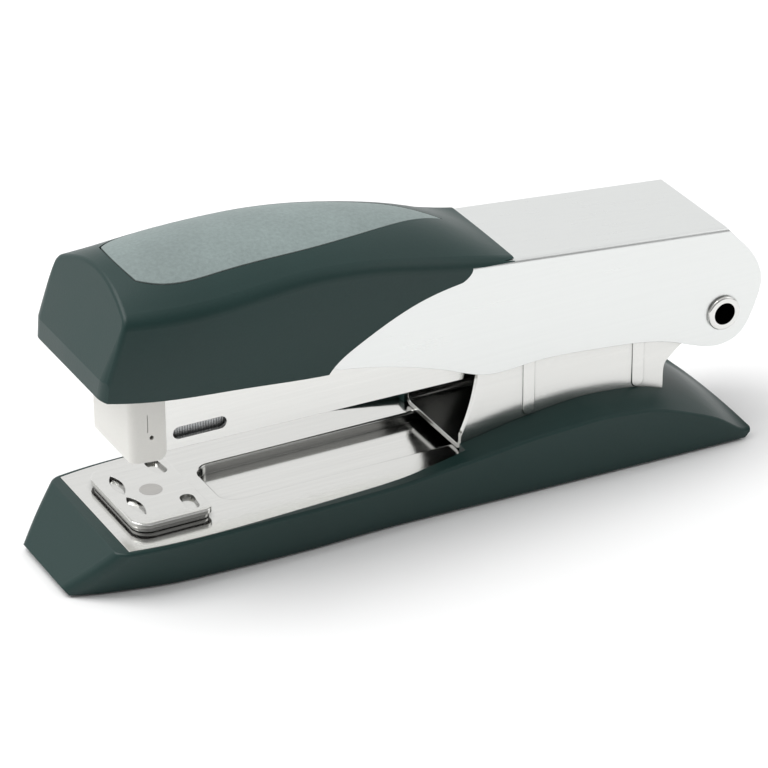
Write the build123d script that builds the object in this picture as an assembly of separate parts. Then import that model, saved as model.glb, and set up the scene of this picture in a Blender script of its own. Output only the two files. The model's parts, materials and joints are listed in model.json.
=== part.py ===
"""Desk stapler with a sheet-metal arm, built as the separate pieces of the real object.

Lengths are in millimetres.  Stations run along the stapler from the base's front tip (0) to
the arm's rear end (overall_length).  Heights are above the desk, and half-widths are from the
mid-plane.  Every piece is modelled in stations and moved at export, so that the row's origin
is the centre of the underside.  The nose points to -X.
"""
import os
from math import radians, tan

import numpy as np
from build123d import *

# ---------------------------------------------------------------- overall sizes
pivot_station = 130.0           # the stapler's length is set here: the rear follows the pivot
arm_tail = 8.0                  # arm behind the pivot
overall_length = pivot_station + arm_tail
base_length = pivot_station + 4.0
rest_height = 0.5               # the plastic base stands this far off the desk, on its feet
pivot_height = 25.1

# ---------------------------------------------------------------- thicknesses
plate_sheet = 1.0
bracket_sheet = 1.0
arm_sheet = 1.0
magazine_sheet = 0.8
rail_sheet = 0.6
base_wall = 2.0
cap_wall = 1.8
nose_wall = 0.65

# ---------------------------------------------------------------- clearances
seat_gap = 0.05                 # between pieces that are laid or pressed together
running_gap = 0.05              # radial, a shaft in its bore
slide_gap = 0.15                # a piece that slides along another
side_gap = 0.45                 # arm wall beside the bracket wall
staple_gap = 0.35               # staple beside the magazine's wall

# ---------------------------------------------------------------- widths that stack up
staple_crown = 12.9
staple_leg = 6.0
staple_wire = 0.5
magazine_half_width = staple_crown / 2 + staple_gap + magazine_sheet
nose_half_width = magazine_half_width + seat_gap + nose_wall
arm_half_width = 11.95
bracket_half_width = arm_half_width - arm_sheet - side_gap

# ---------------------------------------------------------------- pivot
tube_radius = 2.75
tube_bore_radius = tube_radius - 0.6
tube_rim_radius = tube_radius + 0.55
tube_rim_thickness = 0.7
bracket_ear_radius = tube_radius + 3.25
magazine_ear_radius = tube_radius + 2.25

# ---------------------------------------------------------------- base
plate_top = 9.33
rim_height = 9.3
rim_front_station = 8.0
facet_foot_height = 1.6
facet_foot_inset = 0.8
base_crease_radius = 0.5        # along the crest and over the front facet
base_corner_radius = 1.8        # beside the front facet
bracket_front_station = pivot_station - 53.2
bracket_rear_station = pivot_station - 11.4
hump_front_station = bracket_front_station - 0.3
rise_station = 58.0             # where the rim begins to rise towards the hump
base_bottom_half = [(0, 9.5), (8, 12.0), (22, 14.4), (45, 15.0), (60, 14.6), (pivot_station - 45, 15.2),
                    (base_length, 16.3)]
base_crest_half = [(0, 13.6), (8, 15.6), (20, 16.8), (45, 17.0), (pivot_station - 55, 16.3),
                   (pivot_station - 30, 16.8), (base_length, 16.6)]
base_crest_height = [(0, rim_height), (rise_station, rim_height), (pivot_station - 55, 10.3),
                     (pivot_station - 40, 12.0), (pivot_station - 28, 12.5), (pivot_station - 18, 11.6),
                     (pivot_station - 8, 8.4), (pivot_station, 4.4), (base_length, 2.6)]
base_crown = [(0, 0.0), (rise_station, 0.0), (pivot_station - 55, 1.0), (pivot_station - 40, 2.2),
              (pivot_station - 28, 3.1), (pivot_station - 12, 3.3), (pivot_station - 2, 2.4),
              (base_length, 0.8)]

plate_front_station = 10.1
plate_rear_station = bracket_rear_station - 1.6
plate_half = [(plate_front_station, 14.7), (24, 16.0), (46, 15.2), (66, 13.9), (hump_front_station, 12.7)]
plate_ledge = 3.2
channel_front_station = 32.1
channel_rear_station = bracket_front_station + 7.2
channel_half_width = 6.85
channel_depth = 2.0
channel_corner_radius = 3.0
channel_lip_radius = 0.6

foot_radius = 3.8
foot_thickness = 1.2
foot_boss_wall = 1.2
foot_stations = (13.5, bracket_rear_station + 2.4)
foot_half_spacing = 8.2

# ---------------------------------------------------------------- bracket
bracket_bend_radius = 2.0
bead_stations = (bracket_front_station + 13.7, bracket_front_station + 36.3)
bead_width = 2.4
bead_height = 0.25
bead_foot_height = 13.6
bead_top_height = 27.5
bracket_rivet_stations = (bracket_front_station + 17.2, bracket_front_station + 34.2)
bracket_rivet_radius = 1.6
rivet_head_radius = 2.8
rivet_head_thickness = 0.8
lift_leaf_sheet = 0.5
lift_leaf_half_width = 4.0

# ---------------------------------------------------------------- anvil
anvil_station = 21.0
anvil_length = 14.7
anvil_half_width = 11.0
anvil_layer = 0.95
anvil_offset = -0.35            # the rectangle's centre, from the post
anvil_front_corner = 3.2
anvil_rear_corner = 1.4
backing_inset = 0.35
post_radius = 2.05
post_flange_radius = 3.0
post_flange_thickness = 0.7
button_radius = 5.0
button_thickness = 1.4
spring_room = 3.1               # height of the anvil spring at rest
anvil_spring_wire = 0.5
anvil_spring_turns = 2.5
groove_depth = 0.7
narrow_groove = (7.2, 2.2)      # length and width, bends the staple inwards
narrow_groove_reach = 4.6       # from the post
wide_groove = (5.4, 2.6)        # bends it outwards
wide_groove_reach = 4.2

# ---------------------------------------------------------------- magazine
magazine_front_station = 15.9
magazine_rear_station = bracket_front_station + 3.7
magazine_floor_height = 22.72
magazine_fall = 0.6             # how much lower the floor is at its rear
magazine_top_height = 36.2
window_station = 27.3
window_height = 25.6
window_length = 10.2
window_width = 2.3

strip_length = 26.0
rail_rear_station = pivot_station - 32.0
rod_radius = 1.0
rod_front_inset = 1.2
pusher_length = 7.5
pusher_travel = 36.0
pusher_top_height = 34.4
tongue_half_width = 0.9
tongue_length = 4.5
pusher_spring_radius = 2.1
pusher_spring_wire = 0.5
pusher_spring_turns = 20
stop_thickness = 1.5
lug_length = 1.2

nose_front_station = 13.95
nose_rear_station = 20.6
nose_bottom_front = 22.07
nose_bottom_rear = 21.5
nose_top_height = 37.0
nose_front_wall = 1.05
nose_corner_radius = 1.3
nose_rear_corner = 1.6
staple_exit = 0.15              # exit slot behind the magazine's front edge
snap_line = (17.2, 29.2, 0.18, 3.4)     # station, middle height, width and height of the line beside the snap
snap_line_depth = 0.25
snap_pin_height = 26.4
snap_pin_radius = 0.4

# ---------------------------------------------------------------- arm
arm_edge_radius = 1.0
arm_top_rear_station = pivot_station + 0.4
arm_top_rear_height = 42.05
arm_slope = 5.1                 # degrees, rising towards the nose
arm_front_station = 14.4

blade_half_width = staple_crown / 2 - 0.15
blade_sheet = 0.5
blade_front_station = 15.25
blade_lean = 3.8                # degrees; the blade stands upright at the end of its stroke
blade_clear = 0.4               # above the staples at rest
blade_leg_rear_station = 34.0
blade_rivet_stations = (24.0, 30.0)
blade_rivet_radius = 1.0
blade_rivet_head = (1.8, 0.6)   # radius and thickness

# ---------------------------------------------------------------- return leaf
leaf_half_width = 5.0
leaf_sheet = 0.8
leaf_tip_station = pivot_station - 68.0

# ---------------------------------------------------------------- cap and grip
cap_rear_station = 85.6
cap_front_foot = (6.45, 38.8)   # station and height of the front face's lower edge
cap_front_fold = (6.9, 42.3)    # where the face folds back above its lower band
cap_front_lean = 0.40           # stations gained per millimetre of height above the fold
cap_low_height = 31.0
cap_low_over = [(4, 1.05), (20, 1.65), (36, 1.45), (52, 0.75), (88, 0.35)]
cap_belly_over = [(4, 3.65), (16, 4.95), (32, 4.65), (50, 2.95), (66, 1.65), (88, 0.55)]
cap_crease_over = [(4, 1.6), (11.3, 2.55), (26, 4.0), (40, 3.5), (54, 2.65), (70, 1.45), (84, 0.45),
                   (88, 0.3)]
cap_crease_height = [(4, 53.8), (11.3, 52.9), (22, 52.3), (32, 52.6), (44, 53.2), (54, 52.5), (62, 51.1),
                     (70, 49.2), (78, 47.6), (88, 46.0)]
cap_centre_height = [(4, 53.6), (12.3, 56.4), (20, 58.0), (30, 58.8), (44, 58.4), (54, 57.3), (62, 55.9),
                     (70, 54.0), (78, 50.8), (84, 47.6), (88, 45.4)]
cap_corner_low = 5.6            # radii of the front corners in plan, from the foot to the top
cap_corner_fold = 3.8
cap_corner_high = 1.2
cap_block_top = 60.0
cap_block_over = 4.4
cap_crease_softness = 1.6       # how far the rounding of the crease reaches to either side
cap_front_radius = 1.0          # rounding over the front face's upper edge

grip_front_station = 15.6
grip_tip_station = 78.4
grip_half_width = 10.35
grip_thickness = 1.1
grip_groove = 0.28


# ================================================================ helpers
def curve(keys, s):
    """Value at station s of a smooth curve through the (station, value) keys, with no overshoot."""
    if s <= keys[0][0]:
        return keys[0][1]
    if s >= keys[-1][0]:
        return keys[-1][1]
    slopes = [(b[1] - a[1]) / (b[0] - a[0]) for a, b in zip(keys, keys[1:])]
    tangents = [slopes[0]]
    for before, after in zip(slopes, slopes[1:]):
        same_way = before * after > 0
        tangents.append(2 * before * after / (before + after) if same_way else 0.0)
    tangents.append(slopes[-1])
    i = max(n for n, key in enumerate(keys[:-1]) if key[0] <= s)
    (s0, v0), (s1, v1) = keys[i], keys[i + 1]
    span = s1 - s0
    t = (s - s0) / span
    value = v0 * (1 + 2 * t) * (1 - t) ** 2 + v1 * t * t * (3 - 2 * t)
    return value + span * (tangents[i] * t * (1 - t) ** 2 - tangents[i + 1] * t * t * (1 - t))


def flowing(keys, s):
    """Value at station s of the natural cubic spline through the keys."""
    x, y = np.array(keys, dtype=float).T
    gap = np.diff(x)
    bends = np.eye(len(x))
    pull = np.zeros(len(x))
    for i in range(1, len(x) - 1):
        bends[i, i - 1:i + 2] = gap[i - 1], 2 * (gap[i - 1] + gap[i]), gap[i]
        pull[i] = 6 * ((y[i + 1] - y[i]) / gap[i] - (y[i] - y[i - 1]) / gap[i - 1])
    bend = np.linalg.solve(bends, pull)
    i = int(np.clip(np.searchsorted(x, s) - 1, 0, len(x) - 2))
    a = (x[i + 1] - s) / gap[i]
    b = 1 - a
    sag = ((a ** 3 - a) * bend[i] + (b ** 3 - b) * bend[i + 1]) * gap[i] ** 2 / 6
    return float(a * y[i] + b * y[i + 1] + sag)


def stations(start, stop, count):
    return [start + (stop - start) * n / (count - 1) for n in range(count)]


def across(s):
    """Plane across the stapler at station s: local x is +Y, local y is up."""
    return Plane(origin=(s, 0, 0), x_dir=(0, 1, 0), z_dir=(1, 0, 0))


def side_prism(outline, half_width, inner=0.0):
    """A side view outline (a face on XZ) made solid from one half-width to the other."""
    solid = extrude(Plane.XZ * outline, amount=half_width, both=True)
    if inner:
        solid -= extrude(Plane.XZ * outline, amount=inner, both=True)
    return solid


def closed(*points):
    return make_face(Polyline(*points, close=True))


def disc(s, z, radius):
    """A circle in side view."""
    return Pos(s, z) * Circle(radius)


def upright(s, y, z, radius, height):
    """A vertical cylinder standing on height z."""
    return Pos(s, y, z) * Cylinder(radius, height, align=(Align.CENTER, Align.CENTER, Align.MIN))


def block(s0, s1, half_width, z0, z1):
    """A box centred on the mid-plane."""
    return Pos(s0, 0, z0) * Box(s1 - s0, 2 * half_width, z1 - z0, align=(Align.MIN, Align.CENTER, Align.MIN))


def cross_ring(s, z, outer, inner, y0, y1):
    """A ring on a crosswise axis, from y0 to y1."""
    ring = Plane.XZ.offset(-y1) * Pos(s, z) * (Circle(outer) - Circle(inner))
    return extrude(ring, amount=y1 - y0)


def between(a, b, t):
    return (a[0] + (b[0] - a[0]) * t, a[1] + (b[1] - a[1]) * t)


def stretch_of(bend, start, stop):
    """Control points of the part of a three-point Bezier curve between two parameters."""
    first, middle, last = bend
    before = between(between(first, middle, start), between(middle, last, start), start)
    centre = between(between(first, middle, start), between(middle, last, start), stop)
    after = between(between(first, middle, stop), between(middle, last, stop), stop)
    return before, centre, after


def mirrored(bend):
    return [(-y, z) for y, z in reversed(bend)]


def shouldered(side, crown, softness):
    """Half-outline up one side and over the crown to the other, with the creases rounded off."""
    crease = side[-1]
    over = softness / Bezier(*crown).length
    rise = stretch_of(side, 0, 1 - softness / Bezier(*side).length)
    roof = stretch_of(crown, over, 1 - over)
    shoulder = [rise[-1], crease, roof[0]]
    return (Bezier(*rise) + Bezier(*shoulder) + Bezier(*roof)
            + Bezier(*mirrored(shoulder)) + Bezier(*mirrored(rise)))


def arm_top_at(s):
    return arm_top_rear_height + (arm_top_rear_station - s) * tan(radians(arm_slope))


def magazine_bottom_at(s):
    run = (s - magazine_front_station) / (magazine_rear_station - magazine_front_station)
    return magazine_floor_height - magazine_fall * run


# ================================================================ base
def base_section(s, inset):
    low = curve(base_bottom_half, s) - inset
    crest = curve(base_crest_half, s) - inset
    crest_z = max(curve(base_crest_height, s) - inset, rest_height + 0.2)
    foot_z = rest_height - inset
    crown = curve(base_crown, s)
    sides = Polyline((-crest, crest_z), (-low, foot_z), (low, foot_z), (crest, crest_z))
    top = Bezier((crest, crest_z), (0, crest_z + 2 * crown), (-crest, crest_z))
    return across(s) * make_face(sides + top)


def base_form(inset):
    """The base's outer shape, or the hollow inside a wall of the given inset."""
    body = loft([base_section(s, inset) for s in stations(0, base_length, 27)])
    rise = plate_top - facet_foot_height
    slope = rise / rim_front_station
    shift = inset * (1 + slope ** 2) ** 0.5 / slope
    outline = closed(
        (shift, facet_foot_height),
        (shift + 3 * rim_front_station, facet_foot_height + 3 * rise),
        (base_length - inset, facet_foot_height + 3 * rise),
        (base_length - inset, facet_foot_height),
        (base_length - inset - facet_foot_inset, rest_height - inset),
        (shift + facet_foot_inset, rest_height - inset),
    )
    form = (body & side_prism(outline, overall_length)).solid()
    if inset:
        return form
    corners = form.edges().filter_by(
        lambda e: e.center().X < rim_front_station / 2 + 1 and abs(e.center().Y) > 9 and e.length > 5)
    form = fillet(corners, base_corner_radius)
    raised = form.edges().filter_by(lambda e: e.center().Z > facet_foot_height + base_crease_radius)
    crests = raised.filter_by(lambda e: e.length > pivot_station / 2)
    brow = raised.filter_by(lambda e: abs(e.center().Y) < 1 and e.center().X < rim_front_station + 1)
    return fillet(crests + brow, base_crease_radius)


def plate_outline(grow):
    """Plan of the base plate, with its edge moved outwards by grow."""
    keys = stations(plate_front_station, hump_front_station, 7)
    half_widths = [curve(plate_half, s) + grow for s in keys]
    keys[0] -= grow
    near = [(s, -half) for s, half in zip(keys, half_widths)]
    far = [(s, -y) for s, y in reversed(near)]
    tail = half_widths[-1]
    rear = plate_rear_station + grow
    edge = Spline(*near) + Polyline(near[-1], (rear, -tail), (rear, tail), far[0]) + Spline(*far)
    return make_face(edge + Line(far[-1], near[0]))


def make_base_shell():
    outside = base_form(0)
    shell = outside - base_form(base_wall)
    for s in foot_stations:
        for y in (-foot_half_spacing, foot_half_spacing):
            shell += upright(s, y, rest_height, foot_radius + foot_boss_wall, overall_length) & outside
            shell -= upright(s, y, 0, foot_radius + seat_gap, foot_thickness + seat_gap)
    plate_seat = plate_top - plate_sheet
    under_hump = extrude(Pos(0, 0, plate_seat) * plate_outline(seat_gap), amount=plate_sheet + seat_gap)
    shell -= under_hump
    open_air = extrude(Pos(0, 0, plate_seat) * plate_outline(seat_gap), amount=overall_length)
    shell -= open_air & block(0, hump_front_station, overall_length, 0, overall_length)
    window = extrude(plate_outline(-plate_ledge), amount=plate_top)
    shell -= window & block(0, plate_rear_station - plate_ledge, overall_length, rest_height, plate_top)
    shell -= block(hump_front_station - 1, bracket_rear_station + seat_gap, bracket_half_width + seat_gap,
                   plate_seat, overall_length)
    return shell


def channel_sketch(grow):
    length = channel_rear_station - channel_front_station + 2 * grow
    width = 2 * (channel_half_width + grow)
    centre = (channel_rear_station + channel_front_station) / 2
    return Pos(centre, 0) * RectangleRounded(length, width, channel_corner_radius + grow)


def make_base_plate():
    sheet = extrude(Pos(0, 0, plate_top - plate_sheet) * plate_outline(0), amount=plate_sheet)
    tray_wall = plate_sheet * 0.8
    tray_floor = plate_top - channel_depth
    sheet += extrude(Pos(0, 0, tray_floor - plate_sheet) * channel_sketch(tray_wall),
                     amount=channel_depth)
    sheet -= extrude(Pos(0, 0, tray_floor) * channel_sketch(0), amount=channel_depth + plate_sheet)
    lip = sheet.edges().filter_by_position(Axis.Z, plate_top, plate_top).filter_by(
        lambda e: abs(e.center().Y) <= channel_half_width + 0.1
        and channel_front_station - 0.1 < e.center().X < channel_rear_station + 0.1)
    sheet = fillet(lip, channel_lip_radius)
    sheet -= upright(anvil_station, 0, 0, post_radius + running_gap, plate_top + 1)
    for s in bracket_rivet_stations:
        sheet -= upright(s, 0, 0, bracket_rivet_radius, plate_top + 1)
    return sheet


def make_rubber_feet():
    feet = [upright(s, y, 0, foot_radius, foot_thickness)
            for s in foot_stations for y in (-foot_half_spacing, foot_half_spacing)]
    return Compound(children=feet)


# ================================================================ bracket and pivot
def bracket_outline():
    ear = bracket_ear_radius
    low = plate_top
    front = bracket_front_station
    neck = pivot_station
    return make_face(
        Polyline((bracket_rear_station, low), (front, low), (front, low + 3.2))
        + Spline((front, low + 3.2), (front + 2.2, 18.25), (front + 3.4, 24.0), (front + 3.8, 28.0))
        + Polyline((front + 3.8, 28.0), (neck - 8.0, 31.6), (pivot_station, pivot_height + ear))
        + ThreePointArc((pivot_station, pivot_height + ear), (pivot_station + ear, pivot_height),
                        (pivot_station, pivot_height - ear))
        + Spline((pivot_station, pivot_height - ear), (neck - 6.8, pivot_height - 4.8),
                 (neck - 10.4, pivot_height - 7.5), (bracket_rear_station, 14.0),
                 tangents=((-1, 0.1), (0, -1)))
        + Line((bracket_rear_station, 14.0), (bracket_rear_station, low))
    )


def make_bracket():
    form = side_prism(bracket_outline(), bracket_half_width)
    low_edges = form.edges().filter_by(Axis.X).group_by(Axis.Z)[0]
    form = fillet(low_edges, bracket_bend_radius)
    inner_half = bracket_half_width - bracket_sheet
    hollow = block(0, overall_length + 9, inner_half, plate_top + bracket_sheet, overall_length)
    inner_edges = hollow.edges().filter_by(Axis.X).group_by(Axis.Z)[0]
    form -= fillet(inner_edges, bracket_bend_radius - bracket_sheet)
    for s in bead_stations:
        round_end = bead_foot_height + bead_width / 2
        bead = Pos(s, round_end) * Circle(bead_width / 2)
        bead += Pos(s, (round_end + bead_top_height) / 2) * Rectangle(bead_width, bead_top_height - round_end)
        form += side_prism(bead, bracket_half_width + bead_height, bracket_half_width - bracket_sheet / 2)
    bore = disc(pivot_station, pivot_height, tube_radius)
    form -= side_prism(bore, overall_length)
    for s in bracket_rivet_stations:
        form -= upright(s, 0, 0, bracket_rivet_radius, plate_top + 2)
    return form


def make_bracket_rivets():
    shank_low = plate_top - plate_sheet
    shank_top = plate_top + bracket_sheet
    rivets = []
    for s in bracket_rivet_stations:
        shank = upright(s, 0, shank_low, bracket_rivet_radius, shank_top - shank_low)
        head = upright(s, 0, shank_top, rivet_head_radius, rivet_head_thickness)
        tail = upright(s, 0, shank_low - rivet_head_thickness, rivet_head_radius, rivet_head_thickness)
        rivets.append((shank + head + tail).solid())
    return Compound(children=rivets)


def make_pivot_tube():
    rim_inner = arm_half_width + seat_gap
    rim_outer = rim_inner + tube_rim_thickness
    tube = cross_ring(pivot_station, pivot_height, tube_radius, tube_bore_radius, -rim_outer, rim_outer)
    for y0 in (-rim_outer, rim_inner):
        y1 = y0 + tube_rim_thickness
        tube += cross_ring(pivot_station, pivot_height, tube_rim_radius, tube_bore_radius, y0, y1)
    corners = tube.edges().filter_by(GeomType.CIRCLE).filter_by(
        lambda e: abs(e.radius - tube_rim_radius) < 0.01 and abs(abs(e.center().Y) - rim_outer) < 0.01)
    return fillet(corners, tube_rim_thickness * 0.6)


def make_pivot_spacers():
    inner = magazine_half_width + seat_gap
    outer = bracket_half_width - bracket_sheet - seat_gap
    ring = cross_ring(pivot_station, pivot_height, tube_radius + 1.6, tube_radius + running_gap, inner, outer)
    return Compound(children=[ring, mirror(ring, about=Plane.XZ)])


def make_magazine_spring():
    """Leaf riveted to the bracket's web, rising to the underside of the rail."""
    low = plate_top + bracket_sheet + rivet_head_thickness + lift_leaf_sheet / 2 + seat_gap
    high = rail_floor() - lift_leaf_sheet / 2 - seat_gap
    front = bracket_front_station
    path = Line((front + 38.2, low), (front + 23.2, low))
    path += Spline((front + 23.2, low), (front + 15.2, 14.6), (front + 9.7, high - 0.9),
                   tangents=((-1, 0), (-0.55, 1)))
    path += Spline((front + 9.7, high - 0.9), (front + 8.5, high - 0.1), (front + 7.2, high - 0.8),
                   tangents=((-0.55, 1), (-0.5, -1)))
    return side_prism(trace(path, lift_leaf_sheet), lift_leaf_half_width)


# ================================================================ anvil
def anvil_sketch(inset):
    sheet = Rectangle(anvil_length - 2 * inset, 2 * (anvil_half_width - inset))
    sheet = fillet(sheet.vertices().group_by(Axis.X)[0], anvil_front_corner)
    sheet = fillet(sheet.vertices().group_by(Axis.X)[-1], anvil_rear_corner)
    return Pos(anvil_station + anvil_offset, 0) * sheet


def leaf_shape(length, width):
    """A pointed oval, where two circles overlap."""
    radius = (length ** 2 + width ** 2) / (4 * width)
    shift = radius - width / 2
    return (Pos(0, shift) * Circle(radius)) & (Pos(0, -shift) * Circle(radius))


def anvil_groove(ahead, aside, shape, turn):
    return Pos(anvil_station + ahead, aside) * Rot(0, 0, turn) * shape


def make_anvil_plate():
    low = plate_top + seat_gap + anvil_layer
    top = low + anvil_layer
    plate = extrude(Pos(0, 0, low) * anvil_sketch(0), amount=anvil_layer)
    top_edges = plate.edges().group_by(Axis.Z)[-1]
    plate = fillet(top_edges, 0.3)
    grooves = Sketch()
    for side in (-1, 1):
        grooves += anvil_groove(-narrow_groove_reach, side * 4.0, leaf_shape(*narrow_groove), 90 - side * 4)
        grooves += anvil_groove(wide_groove_reach, side * 7.0, SlotOverall(*wide_groove), 90 + side * 6)
    plate -= extrude(Pos(0, 0, top - groove_depth) * grooves, amount=groove_depth)
    return plate - upright(anvil_station, 0, 0, post_radius, overall_length)


def make_anvil_backing():
    low = plate_top + seat_gap
    sheet = extrude(Pos(0, 0, low) * anvil_sketch(backing_inset), amount=anvil_layer)
    return sheet - upright(anvil_station, 0, 0, post_radius, overall_length)


def anvil_button_top():
    return plate_top - plate_sheet - spring_room


def make_anvil_post():
    """Rivet that carries the anvil, with a flange under the push button."""
    top = plate_top + seat_gap + 2 * anvil_layer
    low = anvil_button_top() - button_thickness - seat_gap
    post = upright(anvil_station, 0, low, post_radius, top - low)
    flange_low = low - post_flange_thickness
    return post + upright(anvil_station, 0, flange_low, post_flange_radius, post_flange_thickness)


def make_anvil_button():
    low = anvil_button_top() - button_thickness
    button = upright(anvil_station, 0, low, button_radius, button_thickness)
    button = fillet(button.edges().group_by(Axis.Z)[0], 0.4)
    return button - upright(anvil_station, 0, 0, post_radius + running_gap, overall_length)


def make_anvil_spring():
    wire = anvil_spring_wire
    low = anvil_button_top() + wire / 2 + seat_gap
    rise = spring_room - wire - 2 * seat_gap
    return coil(Pos(anvil_station, 0, low), post_radius + 0.9, wire, rise, anvil_spring_turns)


def coil(place, radius, wire, length, turns):
    """A helical spring that rises along the placed Z axis."""
    path = Helix(pitch=length / turns, height=length, radius=radius)
    start = Plane(origin=path @ 0, z_dir=path % 0)
    spring = sweep(start * Circle(wire / 2), path=path)
    return place * spring


# ================================================================ magazine
def magazine_outline():
    front = magazine_front_station
    rear = magazine_rear_station
    ear = magazine_ear_radius
    return make_face(
        Polyline((front, magazine_bottom_at(front)), (rear, magazine_bottom_at(rear)))
        + ThreePointArc((rear, magazine_bottom_at(rear)), (rear + 1.4, magazine_bottom_at(rear) + 0.6),
                        (rear + 2.0, magazine_bottom_at(rear) + 2.0))
        + Line((rear + 2.0, magazine_bottom_at(rear) + 2.0), (rear + 4.0, 25.6))
        + Spline((rear + 4.0, 25.6), (pivot_station - 12.0, pivot_height - 0.5),
                 (pivot_station, pivot_height - ear), tangents=((1, 0), (1, 0)))
        + ThreePointArc((pivot_station, pivot_height - ear), (pivot_station + ear, pivot_height),
                        (pivot_station, pivot_height + ear))
        + Polyline((pivot_station, pivot_height + ear), (pivot_station - 28.0, magazine_top_height),
                   (front, magazine_top_height),
                   (front, magazine_bottom_at(front)))
    )


def floor_outline():
    front = magazine_front_station
    rear = magazine_rear_station
    return closed(
        (front, magazine_bottom_at(front)),
        (rear, magazine_bottom_at(rear)),
        (rear, magazine_bottom_at(rear) + magazine_sheet),
        (front, magazine_bottom_at(front) + magazine_sheet),
    )


def make_magazine_channel():
    inner = magazine_half_width - magazine_sheet
    walls = side_prism(magazine_outline(), magazine_half_width, inner)
    channel = walls + side_prism(floor_outline(), magazine_half_width)
    window = Pos(window_station, window_height) * SlotOverall(window_length, window_width)
    channel -= side_prism(window, overall_length)
    channel -= side_prism(disc(pivot_station, pivot_height, tube_radius + running_gap), overall_length)
    return channel


def rail_floor():
    return magazine_floor_height + magazine_sheet + seat_gap


def rail_top():
    return rail_floor() + staple_leg - staple_wire


def rail_half_width():
    return staple_crown / 2 - staple_wire - 0.1


def rod_height():
    return (rail_floor() + rail_top() - rail_sheet) / 2


def pusher_front():
    return magazine_front_station + 0.1 + strip_length + seat_gap


def make_staple_rail():
    """Inverted channel that carries the staples, slotted for the pusher's tongue."""
    front = magazine_front_station
    half = rail_half_width()
    rail = block(front, rail_rear_station, half, rail_floor(), rail_top())
    rail -= block(front, rail_rear_station, half - rail_sheet, 0, rail_top() - rail_sheet)
    slot_rear = pusher_front() + pusher_length + pusher_travel + 1.0
    rail -= block(pusher_front() - 1.0, slot_rear, tongue_half_width + slide_gap, 0, overall_length)
    return rail


def strip_top():
    return rail_top() + seat_gap + staple_wire


def make_staple_strip():
    """A strip of glued staples, straddling the rail."""
    front = magazine_front_station + 0.1
    top = strip_top()
    half = staple_crown / 2
    strip = block(front, front + strip_length, half, top - staple_leg + 2 * seat_gap, top)
    strip -= block(front, front + strip_length, half - staple_wire, 0, top - staple_wire)
    return strip


def make_guide_rod():
    front = magazine_front_station + rod_front_inset
    rod = Cylinder(rod_radius, rail_rear_station - front, align=(Align.CENTER, Align.CENTER, Align.MIN))
    return Pos(front, 0, rod_height()) * Rot(0, 90, 0) * rod


def make_rod_anchor():
    """Plate inside the rail's front end that holds the guide rod."""
    front = magazine_front_station + rod_front_inset
    plate = block(front, front + 1.0, rail_half_width() - rail_sheet, rail_floor(), rail_top() - rail_sheet)
    return plate - make_guide_rod()


def make_rear_stop():
    """Cross plate between the channel's walls that holds the rail, the rod and the spring's end."""
    half = magazine_half_width - magazine_sheet
    front = rail_rear_station
    plate = block(front, front + stop_thickness, half, rail_floor() + 1.0, magazine_top_height - 3.0)
    lug = Pos(front, 0, rod_height()) * Rot(0, -90, 0) * Cylinder(
        pusher_spring_radius, lug_length, align=(Align.CENTER, Align.CENTER, Align.MIN))
    return plate + lug - make_guide_rod()


def make_pusher():
    front = pusher_front()
    rear = front + pusher_length
    outer = magazine_half_width - magazine_sheet - 3 * slide_gap
    saddle = block(front, rear, outer, rail_floor() + 0.6, pusher_top_height)
    saddle -= block(front, rear, rail_half_width() + slide_gap, 0, rail_top() + slide_gap)
    saddle = fillet(saddle.edges().filter_by(Axis.X).group_by(Axis.Z)[-1], 1.0)
    tongue_top = rail_top() + 2 * slide_gap
    saddle += block(front, front + tongue_length, tongue_half_width, rail_floor() + 1.0, tongue_top)
    saddle += block(front, front + tongue_length - 1.0, pusher_spring_radius, rail_floor() + slide_gap,
                    rail_top() - rail_sheet - slide_gap)
    bore = Pos(front - 1, 0, rod_height()) * Rot(0, 90, 0) * Cylinder(
        rod_radius + slide_gap, pusher_length + 2, align=(Align.CENTER, Align.CENTER, Align.MIN))
    return saddle - bore


def make_pusher_spring():
    front = pusher_front() + tongue_length + pusher_spring_wire / 2 + seat_gap
    rear = rail_rear_station - lug_length - pusher_spring_wire / 2 - seat_gap
    place = Pos(front, 0, rod_height()) * Rot(0, 90, 0)
    return coil(place, pusher_spring_radius - pusher_spring_wire / 2, pusher_spring_wire, rear - front,
                pusher_spring_turns)


def make_nose_cover():
    """Moulded cover that wraps the front of the magazine and guides the blade and the staple."""
    front = nose_front_station
    rear = nose_rear_station
    outer = closed((front, nose_bottom_front), (rear, nose_bottom_rear), (rear, nose_top_height),
                   (front, nose_top_height))
    nose = side_prism(outer, nose_half_width)
    uprights = nose.edges().filter_by(Axis.Z).group_by(Axis.X)[0]
    nose = fillet(uprights, nose_corner_radius)
    rear_low = nose.edges().filter_by(Axis.Y).group_by(Axis.X)[-1].group_by(Axis.Z)[0]
    nose = fillet(rear_low, nose_rear_corner)
    inner_half = magazine_half_width + seat_gap
    inner_front = front + nose_front_wall
    nose -= block(inner_front, rear + 1, inner_half, magazine_floor_height - seat_gap, nose_top_height + 1)
    exit_rear = magazine_front_station + staple_exit
    nose -= block(inner_front, exit_rear, blade_half_width + blade_clear, 0, nose_top_height)
    nose -= side_prism(disc(front + 3.95, snap_pin_height, snap_pin_radius), overall_length)
    line_station, line_height, line_width, line_length = snap_line
    line = Pos(line_station, line_height) * Rectangle(line_width, line_length)
    return nose - side_prism(line, overall_length, nose_half_width - snap_line_depth)


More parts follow.
